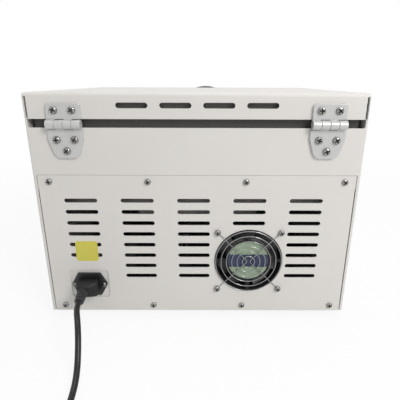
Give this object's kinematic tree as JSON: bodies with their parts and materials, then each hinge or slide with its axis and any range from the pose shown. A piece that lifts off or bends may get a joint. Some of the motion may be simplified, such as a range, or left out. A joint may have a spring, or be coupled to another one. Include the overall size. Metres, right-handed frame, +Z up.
{
  "type": "reflow oven",
  "caption": "Bench reflow oven: painted sheet casing with a hinged flip-top lid, heated chamber with a wire rack, vented rear panel with a guarded fan, and a mains cord.",
  "frame": {"origin": "under the middle of the oven, handle and hinges included, on the surface it stands on", "axes": "+Z up, +Y towards the rear panel with the fan, +X to the right seen from the front"},
  "size_m": [0.4345, 0.7118, 0.3062],
  "materials": {
    "casing_paint": "satin powder coat",
    "tray_steel": "galvanised",
    "foot_rubber": "matte",
    "screw_steel": "nickel plated",
    "fan_plastic": "moulded",
    "motor_iron": "laminated",
    "guard_wire": "plated",
    "inlet_plastic": "moulded",
    "contact_brass": "plated",
    "connector_plastic": "moulded",
    "cord_jacket": "satin",
    "tie_plastic": "satin",
    "chamber_steel": "bright",
    "wool": "fibrous",
    "jacket_steel": "aluminised",
    "heater_quartz": "clear",
    "holder_steel": "plain",
    "rack_wire": "plated",
    "circuit_board": "solder mask",
    "sink_aluminium": "anodised",
    "relay_plastic": "moulded",
    "supply_cage": "perforated sheet",
    "terminal_plastic": "moulded",
    "display_plastic": "moulded",
    "display_glass": "tinted",
    "key_grey": "satin",
    "key_green": "satin",
    "key_red": "satin",
    "switch_plastic": "moulded",
    "hinge_alloy": "sprayed silver",
    "gasket_rubber": "matte",
    "handle_plastic": "moulded"
  },
  "bodies": {
    "oven": {"outer_casing": "casing_paint", "base_tray": "tray_steel", "rubber_feet": "foot_rubber", "rear_panel": "casing_paint", "fan_frame": "fan_plastic", "fan_motor": "motor_iron", "fan_guard": "guard_wire", "inlet_plate": "casing_paint", "power_inlet": "inlet_plastic", "inlet_pins": "contact_brass", "mains_connector": "connector_plastic", "cord_strain_relief": "connector_plastic", "mains_cord": "cord_jacket", "cord_coil": "cord_jacket", "cord_ties": "tie_plastic", "wall_plug": "connector_plastic", "wall_plug_pins": "contact_brass", "heating_chamber": "chamber_steel", "chamber_insulation": "wool", "rack_ledges": "chamber_steel", "chamber_rails": "tray_steel", "insulation_jacket": "jacket_steel", "lower_heater_tubes": "heater_quartz", "lower_tube_holders": "holder_steel", "board_rack": "rack_wire", "thermocouple_probe": "holder_steel", "control_board": "circuit_board", "relay_heat_sink": "sink_aluminium", "solid_state_relays": "relay_plastic", "power_supply": "supply_cage", "terminal_block": "terminal_plastic", "front_panel": "casing_paint", "display_module": "display_plastic", "display_lens": "display_glass", "key_board": "circuit_board", "power_switch_housing": "switch_plastic", "hinge_body_leaves": "hinge_alloy", "hinge_pins": "screw_steel", "rear_panel_screws": "screw_steel", "front_panel_screws": "screw_steel", "foot_screws": "screw_steel", "fan_screws": "screw_steel", "inlet_screws": "screw_steel", "hinge_body_screws": "screw_steel"},
    "lid": {"lid_shell": "casing_paint", "lid_liner": "chamber_steel", "lid_insulation": "wool", "lid_gasket": "gasket_rubber", "upper_heater_tubes": "heater_quartz", "upper_tube_holders": "holder_steel", "lid_handle": "handle_plastic", "handle_screws": "screw_steel", "hinge_lid_leaves": "hinge_alloy", "hinge_lid_screws": "screw_steel"},
    "fan_rotor": {"fan_impeller": "fan_plastic"},
    "rocker": {"power_rocker": "switch_plastic"},
    "key_up_body": {"key_up": "key_grey"},
    "key_down_body": {"key_down": "key_grey"},
    "key_start_body": {"key_start": "key_green"},
    "key_stop_body": {"key_stop": "key_red"}
  },
  "joints": [
    {"name": "lid_hinge", "type": "hinge", "parent": "oven", "child": "lid", "pos_m": [0, 0.19125, 0.2675], "axis": [-1, 0, 0], "range_deg": [0, 95]},
    {"name": "fan_spin", "type": "hinge", "parent": "oven", "child": "fan_rotor", "pos_m": [-0.0678, 0.173, 0.0884], "axis": [0, 1, 0], "continuous": true},
    {"name": "rocker_tilt", "type": "hinge", "parent": "oven", "child": "rocker", "pos_m": [0.148, -0.1565, 0.14], "axis": [-1, 0, 0], "range_deg": [0, 18]},
    {"name": "key_up_press", "type": "slide", "parent": "oven", "child": "key_up_body", "axis": [0, 1, 0], "range_m": [0, 0.0012], "stiffness_N_per_m": 600},
    {"name": "key_down_press", "type": "slide", "parent": "oven", "child": "key_down_body", "axis": [0, 1, 0], "range_m": [0, 0.0012], "stiffness_N_per_m": 600},
    {"name": "key_start_press", "type": "slide", "parent": "oven", "child": "key_start_body", "axis": [0, 1, 0], "range_m": [0, 0.0012], "stiffness_N_per_m": 600},
    {"name": "key_stop_press", "type": "slide", "parent": "oven", "child": "key_stop_body", "axis": [0, 1, 0], "range_m": [0, 0.0012], "stiffness_N_per_m": 600}
  ]
}
